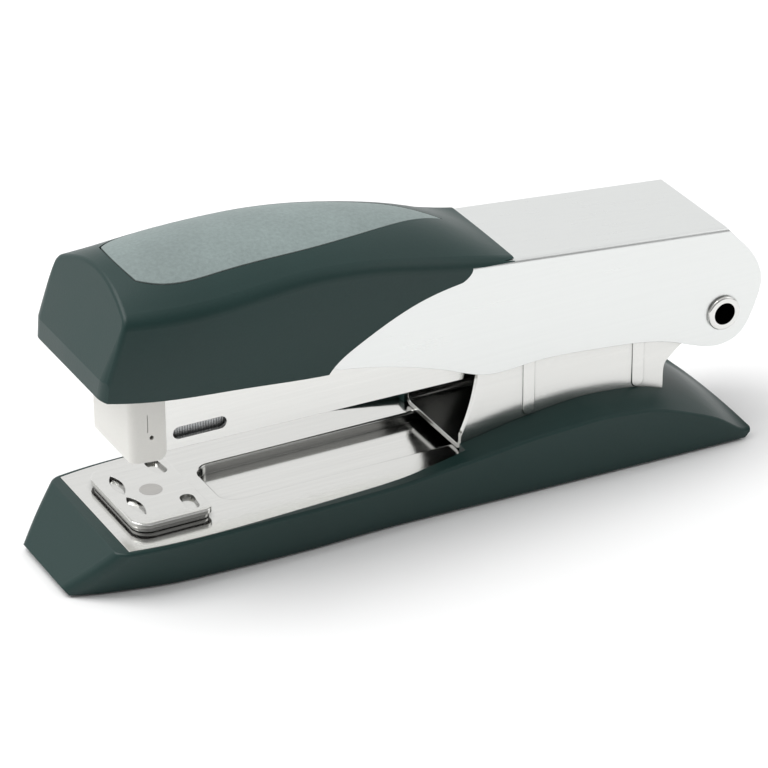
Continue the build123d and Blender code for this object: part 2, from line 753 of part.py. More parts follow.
# ================================================================ arm
def arm_outline():
    front = arm_front_station
    back = pivot_station
    return make_face(
        Polyline((52.2, 32.6), (44.0, 36.5), (30.0, 40.5), (front, 42.5), (front, arm_top_at(front)),
                 (arm_top_rear_station, arm_top_rear_height))
        + Spline((arm_top_rear_station, arm_top_rear_height), (back + 1.6, 40.6), (back + 6.0, 35.6),
                 (overall_length, 30.4), (back + 6.3, 23.9), (back + 4.0, 20.2), (back + 0.6, 18.7),
                 (back - 9.6, 21.25), (back - 25.7, 24.0), (back - 39.2, 24.7), (back - 49.2, 24.55),
                 (back - 56.2, 27.1), (back - 66.1, 30.3), (52.2, 32.6))
    )


def make_arm_shell():
    form = side_prism(arm_outline(), arm_half_width)
    long_edges = form.edges().filter_by(
        lambda e: e.length > 100 and e.center().Z > 40 and abs(abs(e.center().Y) - arm_half_width) < 0.01)
    form = fillet(long_edges, arm_edge_radius)
    inner_half = arm_half_width - arm_sheet
    rear_limit = arm_top_rear_station + 9
    hollow = closed(
        (arm_front_station - 1, 0), (rear_limit, 0), (rear_limit, arm_top_at(rear_limit) - arm_sheet),
        (arm_front_station - 1, arm_top_at(arm_front_station - 1) - arm_sheet),
    )
    form -= side_prism(hollow, inner_half)
    form -= side_prism(disc(pivot_station, pivot_height, tube_radius + running_gap), overall_length)
    for s in blade_rivet_stations:
        form -= upright(s, 0, 0, blade_rivet_radius, overall_length)
    return form


def web_under(s):
    """Height that a piece laid under the arm's web reaches at station s."""
    return arm_top_at(s) - arm_sheet - seat_gap


def make_driver_blade():
    """Blade that drives the staple, with a leg riveted under the arm's web."""
    low = strip_top() + blade_clear
    front = blade_front_station
    corner_front = front + (web_under(front) - low) * tan(radians(blade_lean))
    corner_top = web_under(corner_front)
    leg_end = blade_leg_rear_station
    leg_top = web_under(leg_end)
    outline = closed(
        (front, low), (front + blade_sheet, low),
        (corner_front + blade_sheet, corner_top - blade_sheet),
        (leg_end, leg_top - blade_sheet), (leg_end, leg_top), (corner_front, corner_top),
    )
    blade = side_prism(outline, blade_half_width)
    for s in blade_rivet_stations:
        blade -= upright(s, 0, 0, blade_rivet_radius, overall_length)
    return blade


def make_blade_rivets():
    rivets = []
    for s in blade_rivet_stations:
        head_radius, head_thickness = blade_rivet_head
        tilt = head_radius * tan(radians(arm_slope))
        low = web_under(s) - blade_sheet - tilt - head_thickness
        high = arm_top_at(s) - tilt
        shank = upright(s, 0, low, blade_rivet_radius, high - low)
        head = upright(s, 0, low, head_radius, head_thickness)
        rivets.append((shank + head).solid())
    return Compound(children=rivets)


def make_return_leaf():
    """Leaf hinged on the pivot tube that holds the arm up off the magazine."""
    ring = tube_radius + running_gap
    outer = ring + leaf_sheet
    hook = Pos(pivot_station, pivot_height) * (Circle(outer) - Circle(ring))
    tip_height = web_under(leaf_tip_station) - leaf_sheet / 2 - seat_gap
    start = (pivot_station, pivot_height + ring + leaf_sheet / 2)
    tip = (leaf_tip_station, tip_height)
    path = Spline(start, (pivot_station - 10.0, 33.0), (pivot_station - 25.0, 39.4), tip,
                  tangents=((-1, 0), (-1, tan(radians(arm_slope)))))
    return side_prism(hook + trace(path, leaf_sheet), leaf_half_width) & block(
        leaf_tip_station, overall_length, leaf_half_width, 0, overall_length)


# ================================================================ cap and grip
def cap_section(s, inset):
    low = arm_half_width + flowing(cap_low_over, s) - inset
    belly = arm_half_width + flowing(cap_belly_over, s) - inset
    crease = arm_half_width + flowing(cap_crease_over, s) - inset
    crease_z = flowing(cap_crease_height, s) - inset
    rise = max(flowing(cap_centre_height, s) - flowing(cap_crease_height, s), 0.02)
    side = [(low, cap_low_height), (belly, (crease_z + cap_low_height) / 2), (crease, crease_z)]
    crown = [(crease, crease_z), (0, crease_z + 2 * rise), (-crease, crease_z)]
    outline = Line((-low, cap_low_height), (low, cap_low_height))
    return across(s) * make_face(outline + shouldered(side, crown, cap_crease_softness))


def cap_front_block(inset):
    """Leaning front face with corners that tighten towards the top."""
    foot, fold = cap_front_foot, cap_front_fold
    band_lean = (fold[0] - foot[0]) / (fold[1] - foot[1])
    low_z = cap_low_height - 1
    levels = (
        (foot[0] + (low_z - foot[1]) * band_lean, low_z, cap_corner_low),
        (fold[0], fold[1], cap_corner_fold),
        (fold[0] + (cap_block_top - fold[1]) * cap_front_lean, cap_block_top, cap_corner_high),
    )
    rear = cap_rear_station + 60
    half = arm_half_width + cap_block_over - inset
    slices = []
    for front, z, corner in levels:
        length = rear - front - inset
        plan = Pos(rear - length / 2, 0) * RectangleRounded(length, 2 * half, corner)
        slices.append(Pos(0, 0, z) * plan)
    return loft(slices, ruled=True)


def cap_side_outline():
    """Side view limits of the cap: its lower edge and its sweep up to the rear end."""
    rear = cap_rear_station + 1
    return make_face(
        Polyline((0, 70), (0, 39.6), cap_front_foot)
        + Spline(cap_front_foot, (18.3, 36.7), (32.0, 35.2), (49.5, 32.9), tangents=((1, -0.25), (1, -0.08)))
        + Spline((49.5, 32.9), (55.2, 37.6), (67.4, 42.9), (75.6, 44.3), tangents=((0.6, 1), (1, 0.1)))
        + Spline((75.6, 44.3), (77.4, 45.4), (77.9, 46.6), tangents=((1, 0.3), (0, 1)))
        + Polyline((77.9, 46.6), (80.0, 46.2), (rear, 45.6), (rear, 70), (0, 70))
    )


def cap_form(inset):
    """The cap's outer form, or the hollow inside a wall of the given inset."""
    body = loft([cap_section(s, inset) for s in stations(4, 88, 22)])
    form = (body & cap_front_block(inset)).solid()
    if inset:
        return form
    brow = form.edges().filter_by(lambda e: e.center().Z > 50 and e.bounding_box().max.X < grip_front_station)
    return fillet(brow, cap_front_radius)


def arm_envelope():
    """Room for the arm inside the cap."""
    front = arm_front_station - seat_gap
    rear = cap_rear_station + 6
    front_top = arm_top_at(front) + seat_gap
    rear_top = arm_top_at(rear) + seat_gap
    outline = closed((front, 0), (rear, 0), (rear, rear_top), (front, front_top))
    return side_prism(outline, arm_half_width + seat_gap)


def grip_prism(grow):
    """The soft grip's plan, blunt at the front and pointed at the rear, as a tall prism."""
    front = grip_front_station - grow
    tip = grip_tip_station + grow
    half = grip_half_width + grow
    corner = (front + 0.9, half - 3.3)
    side = Spline(corner, (front + 3.2, half - 1.5), (front + 16.0, half), (front + 33.0, half - 1.0),
                  (front + 46.5, half - 4.2), (tip, 0))
    nose = ThreePointArc(corner, (front, 0), (corner[0], -corner[1]))
    return extrude(make_face(side + mirror(side, about=Plane.XZ) + nose), amount=overall_length)


def cap_skin(grow, thickness):
    """The outermost layer of the cap within the grip's plan."""
    return (grip_prism(grow) & cap_form(0)) - cap_form(thickness)


def make_cap_shell():
    cap = cap_form(0) & side_prism(cap_side_outline(), overall_length)
    cap -= cap_form(cap_wall)
    cap -= arm_envelope()
    return cap - cap_skin(grip_groove, grip_thickness)


def make_cap_grip():
    return cap_skin(0, grip_thickness - seat_gap)


MAKERS = {
    "base_shell": make_base_shell,
    "base_plate": make_base_plate,
    "rubber_feet": make_rubber_feet,
    "bracket": make_bracket,
    "bracket_rivets": make_bracket_rivets,
    "pivot_tube": make_pivot_tube,
    "pivot_spacers": make_pivot_spacers,
    "magazine_spring": make_magazine_spring,
    "anvil_plate": make_anvil_plate,
    "anvil_backing": make_anvil_backing,
    "anvil_post": make_anvil_post,
    "anvil_button": make_anvil_button,
    "anvil_spring": make_anvil_spring,
    "magazine_channel": make_magazine_channel,
    "staple_rail": make_staple_rail,
    "staple_strip": make_staple_strip,
    "guide_rod": make_guide_rod,
    "rod_anchor": make_rod_anchor,
    "rear_stop": make_rear_stop,
    "pusher": make_pusher,
    "pusher_spring": make_pusher_spring,
    "nose_cover": make_nose_cover,
    "arm_shell": make_arm_shell,
    "driver_blade": make_driver_blade,
    "blade_rivets": make_blade_rivets,
    "return_leaf": make_return_leaf,
    "cap_shell": make_cap_shell,
    "cap_grip": make_cap_grip,
}


def main():
    os.makedirs("parts", exist_ok=True)
    to_row = Pos(-overall_length / 2, 0, 0)
    for name, maker in MAKERS.items():
        export_step(to_row * maker(), f"parts/{name}.step")


if __name__ == "__main__":
    main()
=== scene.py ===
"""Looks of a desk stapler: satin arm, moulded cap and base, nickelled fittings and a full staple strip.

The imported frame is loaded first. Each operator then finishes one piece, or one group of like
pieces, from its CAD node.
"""
import json
from math import pi, radians

import bmesh
import bpy
from bpy.props import FloatProperty, FloatVectorProperty, IntProperty, PointerProperty
from mathutils import Euler, Matrix, Vector

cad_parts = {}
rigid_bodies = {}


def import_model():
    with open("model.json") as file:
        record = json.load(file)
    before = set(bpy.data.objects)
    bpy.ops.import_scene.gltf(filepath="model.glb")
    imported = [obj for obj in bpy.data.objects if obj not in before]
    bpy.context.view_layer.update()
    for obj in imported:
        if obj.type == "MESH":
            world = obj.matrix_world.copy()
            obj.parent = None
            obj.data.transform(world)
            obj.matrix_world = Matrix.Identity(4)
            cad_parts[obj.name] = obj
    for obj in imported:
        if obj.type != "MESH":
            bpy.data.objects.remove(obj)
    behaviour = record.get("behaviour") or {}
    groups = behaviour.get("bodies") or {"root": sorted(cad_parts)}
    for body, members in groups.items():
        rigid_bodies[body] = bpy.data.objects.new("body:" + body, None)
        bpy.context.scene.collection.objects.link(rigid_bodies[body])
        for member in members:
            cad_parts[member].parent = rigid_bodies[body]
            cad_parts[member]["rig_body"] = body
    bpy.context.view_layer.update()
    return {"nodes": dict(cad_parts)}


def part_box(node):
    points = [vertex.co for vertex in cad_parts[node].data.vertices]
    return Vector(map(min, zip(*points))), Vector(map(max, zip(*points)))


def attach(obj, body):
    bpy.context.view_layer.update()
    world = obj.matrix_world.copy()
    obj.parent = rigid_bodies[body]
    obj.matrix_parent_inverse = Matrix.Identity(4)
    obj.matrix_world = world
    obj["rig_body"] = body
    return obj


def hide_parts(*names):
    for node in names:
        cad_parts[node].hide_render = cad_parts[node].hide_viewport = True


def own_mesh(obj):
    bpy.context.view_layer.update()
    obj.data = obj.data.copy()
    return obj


bl_info = {
    "name": "Desk Stapler",
    "version": (1, 0, 0),
    "blender": (4, 5, 0),
    "location": "3D View > Sidebar > Stapler",
    "description": "Finishes the pieces of a desk stapler around its CAD frame",
    "category": "Object",
}

for leftover in list(bpy.data.objects):
    bpy.data.objects.remove(leftover)
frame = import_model()
NODES = frame["nodes"]
MM = 0.001

MERGE_DISTANCE = 0.002 * MM
FLAT_TURN = radians(0.3)        # faces that turn less than this are one flat face
SHARP_TURN = radians(35)        # edges that turn more than this are rounded

STAPLE_GAP = 0.04               # parts of a staple wire's thickness
STAPLE_ROUNDING = 0.28

WORN_PLASTIC = 1.9              # how much lighter a rubbed edge is than the piece
WORN_METAL = 1.25
METAL_WEAR = 0.3                # how far a rubbed edge goes towards the lighter colour
PLASTIC_WEAR_WIDTH = 0.4 * MM
METAL_WEAR_WIDTH = 0.25 * MM
LINE_DEPTH = 0.004 * MM         # depth of the lines that rolling leaves

SENSOR_WIDTH = 36.0
KEY_LIGHT = (0.9, (-0.55, 0.30, 1.2))       # side of the square and place, in metres
FILL_LIGHT = (0.7, (0.9, -0.5, 0.55))
BRIGHT_WAY = (0.0, 1.0, 0.5)                # the studio is brightest this way, behind and overhead
FRONT_GLOW = 0.32
FRONT_LIFT = -0.55
BACK_LIFT = 0.35


# ---------------------------------------------------------------- properties
def length(name, description, default):
    return FloatProperty(name=name, description=description, default=default, min=0.0,
                         unit="LENGTH", subtype="DISTANCE")


def colour(name, description, default):
    return FloatVectorProperty(name=name, description=description, default=default, size=3, min=0.0, max=1.0,
                               subtype="COLOR")


def share(name, description, default):
    return FloatProperty(name=name, description=description, default=default, min=0.0, max=1.0,
                         subtype="FACTOR")


class StaplerFinish(bpy.types.PropertyGroup):
    """Colours and surface qualities of the materials."""

    plastic: colour("Moulded plastic", "Cap and base", (0.008, 0.031, 0.028))
    grip: colour("Grip", "Soft insert on the cap", (0.215, 0.262, 0.256))
    rubber: colour("Rubber", "Feet under the base", (0.012, 0.012, 0.013))
    cream: colour("Cream plastic", "Nose cover of the magazine", (0.80, 0.79, 0.75))
    satin: colour("Satin arm", "Plated sheet of the arm", (0.77, 0.785, 0.775))
    nickel: colour("Nickel", "Base plate, bracket and anvil", (0.74, 0.74, 0.72))
    steel: colour("Steel", "Blade, rail, pins and rivets", (0.52, 0.51, 0.49))
    spring: colour("Spring steel", "Leaves and coils", (0.40, 0.39, 0.37))
    staple: colour("Staple wire", "Staples in the strip", (0.44, 0.45, 0.44))
    plastic_roughness: share("Plastic roughness", "How matt the cap and base are", 0.40)
    metal_roughness: share("Metal roughness", "How matt the nickelled sheet is", 0.13)


class StaplerSizes(bpy.types.PropertyGroup):
    """Sizes of the details that the looks add to the frame."""

    sheet_edge: length("Sheet edge", "Rounding of a pressed sheet's edges", 0.12 * MM)
    moulded_edge: length("Moulded edge", "Rounding of a moulded piece's edges", 0.25 * MM)
    grip_edge: length("Grip edge", "Rounding of the grip insert's rim", 0.35 * MM)
    staple_wire: length("Staple wire", "Thickness of one staple", 0.5 * MM)
    edge_segments: IntProperty(name="Edge segments", description="Faces across a rounded edge",
                               default=2, min=1, max=6)


class StaplerView(bpy.types.PropertyGroup):
    """Camera, floor and lights."""

    azimuth: FloatProperty(name="Azimuth", description="Camera's turn from straight ahead",
                           default=radians(-27.415), subtype="ANGLE")
    elevation: FloatProperty(name="Elevation", description="Camera's height above the horizon",
                             default=radians(28.131), subtype="ANGLE")
    roll: FloatProperty(name="Roll", description="Camera's tilt", default=radians(-0.30), subtype="ANGLE")
    place: FloatVectorProperty(name="Camera place", description="Where the camera stands",
                               default=(-0.2956, -0.5659, 0.3614), size=3,
                               subtype="TRANSLATION", unit="LENGTH")
    lens: FloatProperty(name="Lens", description="Focal length in millimetres", default=190.46, min=10.0)
    floor_size: length("Floor size", "Side of the square floor", 6.0)
    floor_tint: colour("Floor", "Floor colour", (0.93, 0.93, 0.93))
    world_tint: colour("Surroundings", "Colour of the studio around the floor", (1.0, 1.0, 1.0))
    world_strength: FloatProperty(name="Surroundings strength", description="Light from all round",
                                  default=0.94, min=0)
    key_power: FloatProperty(name="Key light", description="Power of the large light, in watts",
                             default=11.0, min=0)
    fill_power: FloatProperty(name="Fill light", description="Power of the side light, in watts",
                              default=1.2, min=0)


# ---------------------------------------------------------------- shader groups
def add(tree, kind, inputs=None, **settings):
    """A new node with its settings made and its inputs set or linked."""
    node = tree.nodes.new(kind)
    for name, value in settings.items():
        setattr(node, name, value)
    for name, value in (inputs or {}).items():
        if isinstance(value, bpy.types.NodeSocket):
            tree.links.new(value, node.inputs[name])
        else:
            node.inputs[name].default_value = value
    return node


def new_group(name, inputs, outputs):
    """An empty shader group with named sockets, and its two end nodes."""
    tree = bpy.data.node_groups.new(name, "ShaderNodeTree")
    for label, kind, value in inputs:
        socket = tree.interface.new_socket(name=label, in_out="INPUT", socket_type=kind)
        socket.default_value = value
    for label, kind in outputs:
        tree.interface.new_socket(name=label, in_out="OUTPUT", socket_type=kind)
    return tree, tree.nodes.new("NodeGroupInput").outputs, tree.nodes.new("NodeGroupOutput").inputs


def object_noise(tree, scale, detail=3.0, stretch=None, roughness=0.5):
    """Noise on Object coordinates, stretched where stretch gives three factors."""
    place = add(tree, "ShaderNodeTexCoord").outputs["Object"]
    if stretch:
        place = add(tree, "ShaderNodeMapping", {"Vector": place, "Scale": stretch}).outputs["Vector"]
    noise = add(tree, "ShaderNodeTexNoise", {"Vector": place, "Scale": scale, "Detail": detail,
                                             "Roughness": roughness})
    return noise.outputs["Fac"]


def spread(tree, value, low, high, start=0.3, end=0.7):
    """Noise value brought to run from low to high."""
    node = add(tree, "ShaderNodeMapRange", {"Value": value, "From Min": start, "From Max": end,
                                            "To Min": low, "To Max": high})
    return node.outputs["Result"]


def shaded(tree, tint, factor):
    """A colour made lighter or darker by a factor."""
    node = add(tree, "ShaderNodeVectorMath", {0: tint}, operation="SCALE")
    tree.links.new(factor, node.inputs["Scale"])
    return node.outputs["Vector"]


def calculated(tree, operation, a, b):
    """Result of a sum, difference or product of two values."""
    return add(tree, "ShaderNodeMath", {0: a, 1: b}, operation=operation).outputs["Value"]


def make_moulded_group():
    """Fine spark-eroded texture of a moulded piece, with slow changes of tone."""
    tree, given, result = new_group(
        "Moulded texture",
        [("Tint", "NodeSocketColor", (0.5, 0.5, 0.5, 1)), ("Roughness", "NodeSocketFloat", 0.4),
         ("Grain Scale", "NodeSocketFloat", 2500.0), ("Tone Change", "NodeSocketFloat", 0.05)],
        [("Color", "NodeSocketColor"), ("Roughness", "NodeSocketFloat"), ("Height", "NodeSocketFloat")])
    fine = object_noise(tree, given["Grain Scale"], detail=4.0, roughness=0.6)
    slow = object_noise(tree, 55.0, detail=2.0)
    low = calculated(tree, "SUBTRACT", 1.0, given["Tone Change"])
    high = calculated(tree, "ADD", 1.0, given["Tone Change"])
    tone = spread(tree, slow, low, high)
    speck = spread(tree, fine, low, high)
    tree.links.new(shaded(tree, given["Tint"], calculated(tree, "MULTIPLY", tone, speck)), result["Color"])
    drift = spread(tree, slow, -0.03, 0.03)
    tree.links.new(calculated(tree, "ADD", given["Roughness"], drift), result["Roughness"])
    tree.links.new(fine, result["Height"])
    return tree


def make_rolled_group():
    """Fine lines that rolling and polishing leave along a sheet."""
    tree, given, result = new_group(
        "Rolled sheet",
        [("Tint", "NodeSocketColor", (0.7, 0.7, 0.7, 1)), ("Roughness", "NodeSocketFloat", 0.3),
         ("Line Strength", "NodeSocketFloat", 0.03)],
        [("Color", "NodeSocketColor"), ("Roughness", "NodeSocketFloat"), ("Height", "NodeSocketFloat")])
    lines = object_noise(tree, 1600.0, detail=4.0, stretch=(0.02, 1.0, 1.0), roughness=0.65)
    cloud = object_noise(tree, 38.0, detail=3.0)
    low = calculated(tree, "SUBTRACT", 1.0, given["Line Strength"])
    high = calculated(tree, "ADD", 1.0, given["Line Strength"])
    tree.links.new(shaded(tree, given["Tint"], spread(tree, lines, low, high)), result["Color"])
    streak = calculated(tree, "MULTIPLY", calculated(tree, "SUBTRACT", lines, 0.5), 0.12)
    patch = calculated(tree, "MULTIPLY", calculated(tree, "SUBTRACT", cloud, 0.5), 0.06)
    rough = calculated(tree, "ADD", given["Roughness"], calculated(tree, "ADD", streak, patch))
    tree.links.new(rough, result["Roughness"])
    tree.links.new(lines, result["Height"])
    return tree


def make_edge_group():
    """Rubbed edges: where the surface turns sharply, the colour goes towards the worn one."""
    tree, given, result = new_group(
        "Rubbed edges",
        [("Color", "NodeSocketColor", (0.5, 0.5, 0.5, 1)),
         ("Worn Color", "NodeSocketColor", (0.8, 0.8, 0.8, 1)),
         ("Amount", "NodeSocketFloat", 0.5), ("Width", "NodeSocketFloat", 0.0004)],
        [("Color", "NodeSocketColor"), ("Mask", "NodeSocketFloat")])
    rounded = add(tree, "ShaderNodeBevel", {"Radius": given["Width"]}, samples=4).outputs["Normal"]
    face = add(tree, "ShaderNodeNewGeometry").outputs["Normal"]
    alike = add(tree, "ShaderNodeVectorMath", {0: rounded, 1: face}, operation="DOT_PRODUCT")
    turned = spread(tree, alike.outputs["Value"], 1.0, 0.0, start=0.80, end=0.99)
    patchy = spread(tree, object_noise(tree, 420.0, detail=4.0), 0.25, 1.0, start=0.35, end=0.65)
    mask = calculated(tree, "MULTIPLY", calculated(tree, "MULTIPLY", turned, patchy), given["Amount"])
    mixed = add(tree, "ShaderNodeMix", {"Factor": mask}, data_type="RGBA")
    tree.links.new(given["Color"], mixed.inputs[6])
    tree.links.new(given["Worn Color"], mixed.inputs[7])
    tree.links.new(mixed.outputs[2], result["Color"])
    tree.links.new(mask, result["Mask"])
    return tree


def make_painted_shade_group():
    """Painted shade: the colour is darkened in recesses and close to where pieces meet, as far as ambient
    occlusion finds nearby surfaces.
    """
    tree, given, result = new_group(
        "Painted recess shade",
        [("Color", "NodeSocketColor", (0.5, 0.5, 0.5, 1)), ("Strength", "NodeSocketFloat", 0.5),
         ("Reach", "NodeSocketFloat", 0.004)],
        [("Color", "NodeSocketColor")])
    wide = add(tree, "ShaderNodeAmbientOcclusion", {"Distance": given["Reach"]}, samples=4).outputs["AO"]
    # painted shade: more occlusion gives a darker colour
    depth = spread(tree, wide, 1.0, 0.0, start=0.08, end=0.72)
    kept = calculated(tree, "SUBTRACT", 1.0, calculated(tree, "MULTIPLY", depth, given["Strength"]))
    tree.links.new(shaded(tree, given["Color"], kept), result["Color"])
    return tree


def rgba(tint, factor=1.0):
    return tuple(min(channel * factor, 1.0) for channel in tint) + (1.0,)


def group_node(tree, name):
    """The named shader group, placed in a material."""
    group = bpy.data.node_groups.get(name) or GROUP_MAKERS[name]()
    return add(tree, "ShaderNodeGroup", node_tree=group)


GROUP_MAKERS = {
    "Moulded texture": make_moulded_group,
    "Rolled sheet": make_rolled_group,
    "Rubbed edges": make_edge_group,
    "Painted recess shade": make_painted_shade_group,
}


def start_material(name):
    material = bpy.data.materials.new(name)
    material.use_nodes = True
    return material, material.node_tree, material.node_tree.nodes["Principled BSDF"]


def set_inputs(node, **values):
    for label, value in values.items():
        node.inputs[label.replace("_", " ")].default_value = value


def finish_surface(tree, shader, surface, worn, wear, wear_width, bump, shade, reach):
    """Links a texture group through the edge group and the painted-shade group to the shader, with its grain as
    bump.
    """
    edge = group_node(tree, "Rubbed edges")
    set_inputs(edge, Worn_Color=worn, Amount=wear, Width=wear_width)
    # painted shade in recesses and where pieces meet, with the strength shade and the distance reach
    recess = group_node(tree, "Painted recess shade")
    set_inputs(recess, Strength=shade, Reach=reach)
    tree.links.new(surface.outputs["Color"], edge.inputs["Color"])
    tree.links.new(edge.outputs["Color"], recess.inputs["Color"])
    tree.links.new(recess.outputs["Color"], shader.inputs["Base Color"])
    tree.links.new(surface.outputs["Roughness"], shader.inputs["Roughness"])
    relief = add(tree, "ShaderNodeBump", {"Height": surface.outputs["Height"], "Distance": bump,
                                          "Strength": 1.0})
    tree.links.new(relief.outputs["Normal"], shader.inputs["Normal"])


def moulded(name, tint, roughness, grain=2500.0, tone=0.05, wear=0.35, bump=0.00002):
    """Moulded plastic with a spark-eroded skin."""
    material, tree, shader = start_material(name)
    surface = group_node(tree, "Moulded texture")
    set_inputs(surface, Tint=rgba(tint), Roughness=roughness, Grain_Scale=grain, Tone_Change=tone)
    # The last two settings give the plastic painted shade in its recesses and where pieces meet.
    finish_surface(tree, shader, surface, rgba(tint, WORN_PLASTIC), wear, PLASTIC_WEAR_WIDTH, bump,
                   shade=0.45, reach=0.003)
    set_inputs(shader, IOR=1.49, Specular_IOR_Level=0.34)
    return material


def rolled(name, tint, roughness, lines=0.03, shade=0.85, reach=0.006):
    """Rolled and plated sheet, wire or bar."""
    material, tree, shader = start_material(name)
    surface = group_node(tree, "Rolled sheet")
    set_inputs(surface, Tint=rgba(tint), Roughness=roughness, Line_Strength=lines)
    # shade and reach give the metal painted shade in its recesses and where pieces meet.
    finish_surface(tree, shader, surface, rgba(tint, WORN_METAL), METAL_WEAR, METAL_WEAR_WIDTH, LINE_DEPTH,
                   shade, reach)
    set_inputs(shader, Metallic=1.0)
    return material


def finish_of(name):
    """The named material, made the first time that a piece asks for it."""
    ready = bpy.data.materials.get(name)
    if ready:
        return ready
    look = bpy.context.scene.stapler_finish
    matt = look.metal_roughness
    makers = {
        "cap_and_base_plastic": lambda: moulded(name, look.plastic, look.plastic_roughness),
        "grip_insert": lambda: moulded(name, look.grip, 0.58, grain=1500.0, tone=0.10, wear=0.2,
                                       bump=0.00005),
        "rubber": lambda: moulded(name, look.rubber, 0.75, tone=0.12, wear=0.1),
        "cream_nose": lambda: moulded(name, look.cream, 0.38, tone=0.015, wear=0.1, bump=0.000008),
        "satin_arm": lambda: rolled(name, look.satin, matt + 0.17, lines=0.012, shade=0.5, reach=0.0025),
        "nickelled_sheet": lambda: rolled(name, look.nickel, matt),
        # The bracket's nickel carries strong painted shade with a long reach, which darkens its inside and its
        # faces under the arm.
        "nickelled_bracket_painted_shade": lambda: rolled(name, look.nickel, matt + 0.05, shade=0.97, reach=0.016),
        "steel": lambda: rolled(name, look.steel, 0.30, lines=0.05),
        "spring_steel": lambda: rolled(name, look.spring, 0.32, lines=0.05),
        "staple_wire": lambda: rolled(name, look.staple, 0.22, lines=0.04),
    }
    return makers[name]()


# ---------------------------------------------------------------- pieces
def dress(node_name, material_name):
    """Gives a CAD node that stays its material."""
    mesh = NODES[node_name].data
    mesh.materials.clear()
    mesh.materials.append(finish_of(material_name))
    mesh.polygons.foreach_set("material_index", [0] * len(mesh.polygons))


def new_piece(name, bm, material_name, node_name):
    """Object from a bmesh, riding where its CAD node rides and standing for it."""
    mesh = bpy.data.meshes.new(name)
    bm.to_mesh(mesh)
    bm.free()
    mesh.materials.append(finish_of(material_name))
    piece = bpy.data.objects.new(name, mesh)
    bpy.context.scene.collection.objects.link(piece)
    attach(piece, NODES[node_name]["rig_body"])
    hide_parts(node_name)
    return piece


def merged_copy(node_name):
    """Bmesh of a CAD node with its loose triangles joined up."""
    bm = bmesh.new()
    bm.from_mesh(NODES[node_name].data)
    bmesh.ops.remove_doubles(bm, verts=bm.verts, dist=MERGE_DISTANCE)
    return bm


def soften(node_name, width, segments):
    """Copy of a CAD node's mesh with its flat faces whole and its sharp edges rounded."""
    bm = merged_copy(node_name)
    bmesh.ops.dissolve_limit(bm, angle_limit=FLAT_TURN, verts=bm.verts, edges=bm.edges)
    sharp = [edge for edge in bm.edges if edge.is_manifold and edge.calc_face_angle(0.0) > SHARP_TURN]
    bmesh.ops.bevel(bm, geom=sharp, offset=width, offset_type="OFFSET", affect="EDGES", segments=segments,
                    profile=0.5, material=-1, clamp_overlap=True, loop_slide=True)
    for face in bm.faces:
        face.smooth = True
    return bm


def softened_piece(node_name, material_name, width, segments):
    """Piece with rounded edges that stands for a CAD node."""
    bm = soften(node_name, width, segments)
    piece = new_piece(node_name + "_finished", bm, material_name, node_name)
    normals = piece.modifiers.new("Flat face normals", "WEIGHTED_NORMAL")
    normals.keep_sharp = True


class STAPLER_OT_stage(bpy.types.Operator):
    """Lay the floor, hang the lights and set up the camera"""

    bl_idname = "stapler.stage"
    bl_label = "Stage"

    def execute(self, context):
        view = context.scene.stapler_view
        bm = bmesh.new()
        bmesh.ops.create_grid(bm, x_segments=2, y_segments=2, size=view.floor_size / 2)
        mesh = bpy.data.meshes.new("floor")
        bm.to_mesh(mesh)
        bm.free()
        floor = bpy.data.objects.new("floor", mesh)
        material, tree, shader = start_material("studio_floor")
        tone = spread(tree, object_noise(tree, 3.0), 0.985, 1.0)
        tint = add(tree, "ShaderNodeRGB").outputs["Color"]
        tint.default_value = rgba(view.floor_tint)
        tree.links.new(shaded(tree, tint, tone), shader.inputs["Base Color"])
        set_inputs(shader, Roughness=0.9)
        mesh.materials.append(material)
        context.scene.collection.objects.link(floor)
        context.scene.view_settings.view_transform = "Standard"
        self.add_light(context, "key_light", view.key_power, *KEY_LIGHT)
        self.add_light(context, "fill_light", view.fill_power, *FILL_LIGHT)
        self.add_surroundings(context, view)
        self.add_camera(context, view)
        return {"FINISHED"}

    def add_light(self, context, name, power, size, place):
        """A square light that faces the stapler."""
        light = bpy.data.lights.new(name, "AREA")
        light.energy = power
        light.size = size
        lamp = bpy.data.objects.new(name, light)
        lamp.location = place
        lamp.rotation_euler = Vector(place).to_track_quat("Z", "Y").to_euler()
        context.scene.collection.objects.link(lamp)

    def add_surroundings(self, context, view):
        """A pale studio, brighter behind and overhead than in front."""
        world = bpy.data.worlds.new("studio")
        world.use_nodes = True
        context.scene.world = world
        tree = world.node_tree
        way = add(tree, "ShaderNodeTexCoord").outputs["Generated"]
        lift = add(tree, "ShaderNodeVectorMath", {0: way, 1: BRIGHT_WAY}, operation="DOT_PRODUCT")
        glow = spread(tree, lift.outputs["Value"], FRONT_GLOW, 1.0, start=FRONT_LIFT, end=BACK_LIFT)
        strength = calculated(tree, "MULTIPLY", glow, view.world_strength)
        background = tree.nodes["Background"]
        background.inputs["Color"].default_value = rgba(view.world_tint)
        tree.links.new(strength, background.inputs["Strength"])

    def add_camera(self, context, view):
        """The camera, turned and placed as the settings say."""
        data = bpy.data.cameras.new("camera")
        data.lens = view.lens
        data.sensor_width = SENSOR_WIDTH
        data.clip_start = 0.01
        camera = bpy.data.objects.new("camera", data)
        turn = Euler((pi / 2 - view.elevation, 0.0, view.azimuth)).to_matrix()
        turn = turn @ Matrix.Rotation(view.roll, 3, "Z")
        camera.matrix_world = Matrix.Translation(view.place) @ turn.to_4x4()
        context.scene.collection.objects.link(camera)
        context.scene.camera = camera


def sheet_piece(context, node_name, material_name):
    """Pressed sheet piece with its cut edges rounded."""
    sizes = context.scene.stapler_sizes
    softened_piece(node_name, material_name, sizes.sheet_edge, sizes.edge_segments)


